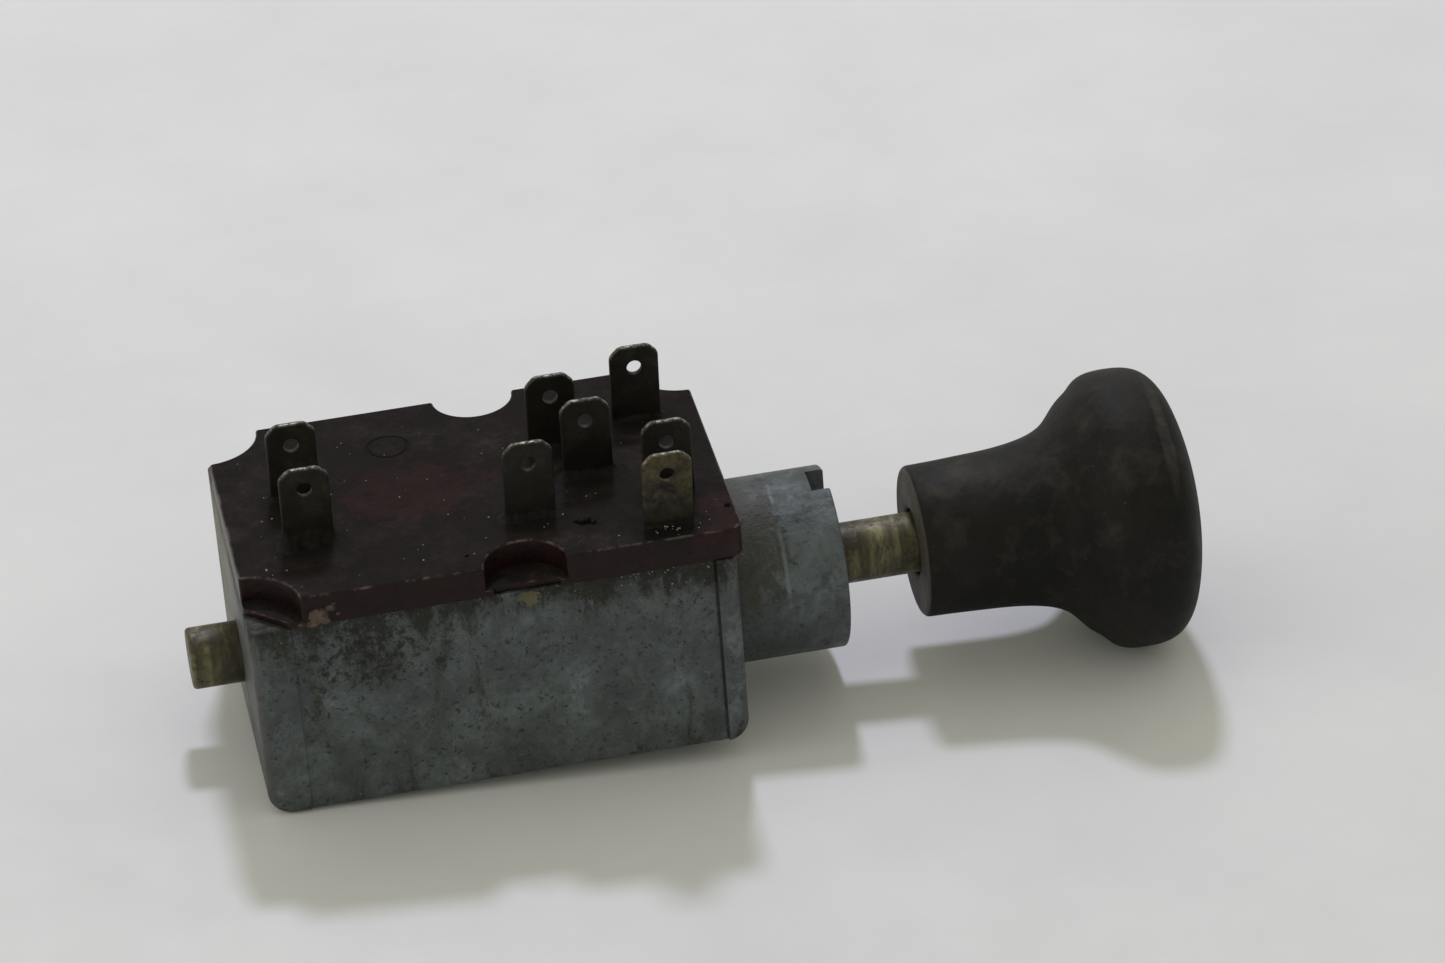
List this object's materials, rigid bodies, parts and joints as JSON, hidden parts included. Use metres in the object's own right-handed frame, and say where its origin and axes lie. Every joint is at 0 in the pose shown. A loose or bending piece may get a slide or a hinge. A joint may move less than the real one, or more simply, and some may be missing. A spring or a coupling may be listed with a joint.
{
  "type": "push-pull multi-pole switch",
  "caption": "Push-pull electrical switch: cast open-top body with mounting bush, moulded terminal plate with blade terminals, through rod and flared knob.",
  "frame": {"origin": "on the pull rod's axis, in the body's front face, where the mounting bush starts", "axes": "+X along the rod towards the knob, +Z towards the blade terminals, Y across the body"},
  "size_m": [0.1292, 0.042, 0.048],
  "materials": {
    "zinc_casting": "dull blue-grey die casting",
    "phenolic": "dark red-brown moulding, satin",
    "rod_steel": "tarnished",
    "knob_plastic": "worn matte black",
    "insert_brass": "plain",
    "carriage_plastic": "dark brown moulding",
    "pin_steel": "plain",
    "contact_brass": "bright where it slides",
    "spring_steel": "plain",
    "blade_brass": "oxidised dark"
  },
  "bodies": {
    "switch_body": {"housing": "zinc_casting", "terminal_plate": "phenolic", "terminal_1": "blade_brass", "terminal_2": "blade_brass", "terminal_3": "blade_brass", "terminal_4": "blade_brass", "terminal_5": "blade_brass", "terminal_6": "blade_brass", "terminal_7": "blade_brass", "terminal_8": "blade_brass", "detent_spring": "spring_steel", "detent_screw": "pin_steel"},
    "pull": {"pull_rod": "rod_steel", "knob": "knob_plastic", "knob_insert": "insert_brass", "contact_carriage": "carriage_plastic", "rod_pin": "pin_steel", "contact_bridge_near": "contact_brass", "contact_bridge_far": "contact_brass", "bridge_spring_near": "spring_steel", "bridge_spring_far": "spring_steel"}
  },
  "joints": [
    {"name": "pull", "type": "slide", "parent": "switch_body", "child": "pull", "axis": [1, 0, 0], "range_m": [0, 0.01], "deforming": ["detent_spring"]}
  ]
}
